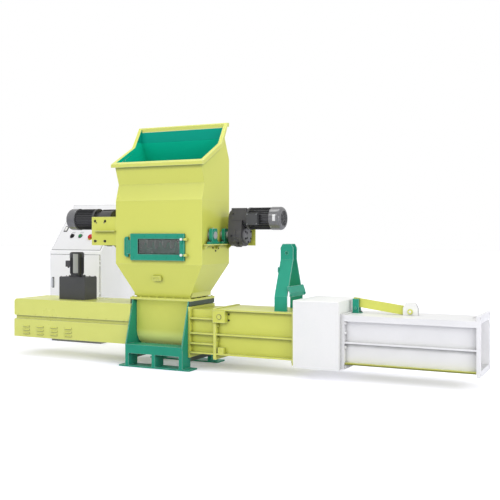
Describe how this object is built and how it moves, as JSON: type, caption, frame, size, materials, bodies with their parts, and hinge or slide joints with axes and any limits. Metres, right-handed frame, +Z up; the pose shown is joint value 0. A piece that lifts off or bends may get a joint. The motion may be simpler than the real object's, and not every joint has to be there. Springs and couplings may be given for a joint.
{
  "type": "polystyrene compactor",
  "caption": "Screw compactor for foam scrap: high hopper with twin shredder rotors, screw trough, long square compression duct, drive enclosure and separate control cabinet.",
  "frame": {"origin": "on the floor, at the centre of the four anchor holes in the two feet under the hopper", "axes": "+X along the screw towards the block outlet, +Y to the rear, +Z up"},
  "size_m": [6.823, 2.42, 3.105],
  "materials": {
    "yellow_paint": "gloss yellow-green powder coat",
    "green_paint": "gloss green enamel",
    "white_paint": "gloss white powder coat",
    "dark_paint": "semi-gloss near-black enamel",
    "grey_paint": "satin grey enamel",
    "steel": "bare steel",
    "bright_steel": "plated",
    "clear_glass": "clear pane",
    "black_plastic": "moulded",
    "green_plastic": "moulded",
    "red_plastic": "moulded"
  },
  "bodies": {
    "root": {"auger_bearing": "steel", "bearing_shelf_left": "yellow_paint", "bearing_shelf_right": "yellow_paint", "bracket_cross_bar": "green_paint", "cabinet_body": "white_paint", "cabinet_hinges": "white_paint", "cabinet_plinth": "dark_paint", "chamber_inlet": "yellow_paint", "chamber_section": "yellow_paint", "clamp_cover": "white_paint", "clamp_section": "white_paint", "console_panel": "white_paint", "crusher_housing": "yellow_paint", "discharge_section": "white_paint", "door_hinge_post": "green_paint", "door_keepers": "yellow_paint", "drive_motor_left": "dark_paint", "drive_motor_right": "dark_paint", "enclosure_base": "yellow_paint", "enclosure_lid": "yellow_paint", "fan_cowl_left": "grey_paint", "fan_cowl_right": "grey_paint", "feed_chute": "yellow_paint", "flange_bolts": "steel", "gearbox_left": "grey_paint", "gearbox_right": "grey_paint", "level_sensor": "yellow_paint", "lever_lug": "white_paint", "lever_saddle": "green_paint", "lifting_bracket": "green_paint", "lower_funnel": "yellow_paint", "main_gearbox": "grey_paint", "main_motor": "dark_paint", "mouth_rim": "yellow_paint", "oil_tank": "grey_paint", "pillow_blocks": "green_paint", "pump_motor": "dark_paint", "pump_terminal_box": "grey_paint", "screw_trough": "yellow_paint", "stand_front": "green_paint", "stand_rear": "green_paint", "stand_ties": "dark_paint", "terminal_box_left": "grey_paint", "terminal_box_right": "grey_paint", "torque_bracket_left": "yellow_paint", "torque_bracket_right": "yellow_paint"},
    "auger": {"auger_screw": "steel"},
    "front_rotor": {"rotor_front": "steel"},
    "rear_rotor": {"rotor_rear": "steel"},
    "inspection_door": {"door_frame": "green_paint", "door_window": "clear_glass"},
    "lower_latch": {"door_latch_lower": "bright_steel"},
    "upper_latch": {"door_latch_upper": "bright_steel"},
    "lever": {"lever_arm": "yellow_paint"},
    "control_door": {"cabinet_door": "white_paint"},
    "door_lock": {"cabinet_lock": "bright_steel"},
    "start_button": {"push_button": "green_plastic"},
    "stop_button": {"emergency_stop": "red_plastic"},
    "selector": {"selector_knob": "black_plastic"}
  },
  "joints": [
    {"name": "auger_turn", "type": "hinge", "parent": "root", "child": "auger", "pos_m": [0, 0, 0.455], "axis": [1, 0, 0], "continuous": true},
    {"name": "front_rotor_turn", "type": "hinge", "parent": "root", "child": "front_rotor", "pos_m": [0, -0.165, 1.66], "axis": [1, 0, 0], "continuous": true},
    {"name": "rear_rotor_turn", "type": "hinge", "parent": "root", "child": "rear_rotor", "pos_m": [0, 0.165, 1.66], "axis": [1, 0, 0], "continuous": true},
    {"name": "door_hinge", "type": "hinge", "parent": "root", "child": "inspection_door", "pos_m": [-0.44, -0.376, 1.5115], "axis": [0, 0, -1], "range_deg": [0, 105]},
    {"name": "lower_latch_turn", "type": "hinge", "parent": "inspection_door", "child": "lower_latch", "pos_m": [0.365, -0.39, 1.4135], "axis": [0, -1, 0], "range_deg": [0, 90]},
    {"name": "upper_latch_turn", "type": "hinge", "parent": "inspection_door", "child": "upper_latch", "pos_m": [0.365, -0.39, 1.6095], "axis": [0, -1, 0], "range_deg": [0, 90]},
    {"name": "lever_lift", "type": "hinge", "parent": "root", "child": "lever", "pos_m": [3.125, 0, 0.806], "axis": [0, 1, 0], "range_deg": [0, 40]},
    {"name": "control_door_hinge", "type": "hinge", "parent": "root", "child": "control_door", "pos_m": [-1.928, 1.0267, 0.7375], "axis": [0, 0, 1], "range_deg": [0, 58]},
    {"name": "lock_turn", "type": "hinge", "parent": "control_door", "child": "door_lock", "pos_m": [-2.805, 1.01, 0.915], "axis": [0, 1, 0], "range_deg": [0, 90]},
    {"name": "start_press", "type": "slide", "parent": "root", "child": "start_button", "axis": [0, 0.7885, -0.615], "range_m": [0, 0.006], "stiffness_N_per_m": 600, "springref_m": -0.003},
    {"name": "stop_press", "type": "slide", "parent": "root", "child": "stop_button", "axis": [0, 0.7885, -0.615], "range_m": [0, 0.006], "stiffness_N_per_m": 1200, "springref_m": -0.003},
    {"name": "selector_turn", "type": "hinge", "parent": "root", "child": "selector", "pos_m": [-2.589, 1.22643, 1.63261], "axis": [0, -0.7885, 0.615], "range_deg": [-45, 45]}
  ]
}
